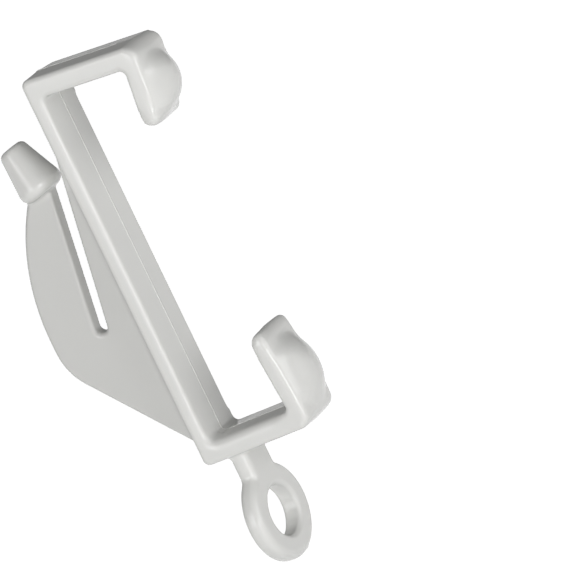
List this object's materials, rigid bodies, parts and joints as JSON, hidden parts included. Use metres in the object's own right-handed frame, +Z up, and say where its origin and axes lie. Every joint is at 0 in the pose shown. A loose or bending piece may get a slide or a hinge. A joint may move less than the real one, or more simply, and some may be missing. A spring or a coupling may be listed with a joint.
{
  "type": "curtain glider",
  "caption": "Moulded C-shaped curtain glider that clips over a rail, with domed lips, an eye on a stem below and a slotted fin ending in a knobbed prong for heading tape",
  "frame": {"origin": "middle of the rail channel: halfway between the arms, halfway between spine and lips, on the parting plane", "axes": "X along the rail, +Y toward the rail, -Y toward the room, +Z up"},
  "size_m": [0.0086, 0.0225, 0.0466],
  "materials": {
    "moulding": "semi-gloss white moulded nylon"
  },
  "bodies": {
    "root": {"curtain_glider": "moulding"}
  },
  "joints": []
}
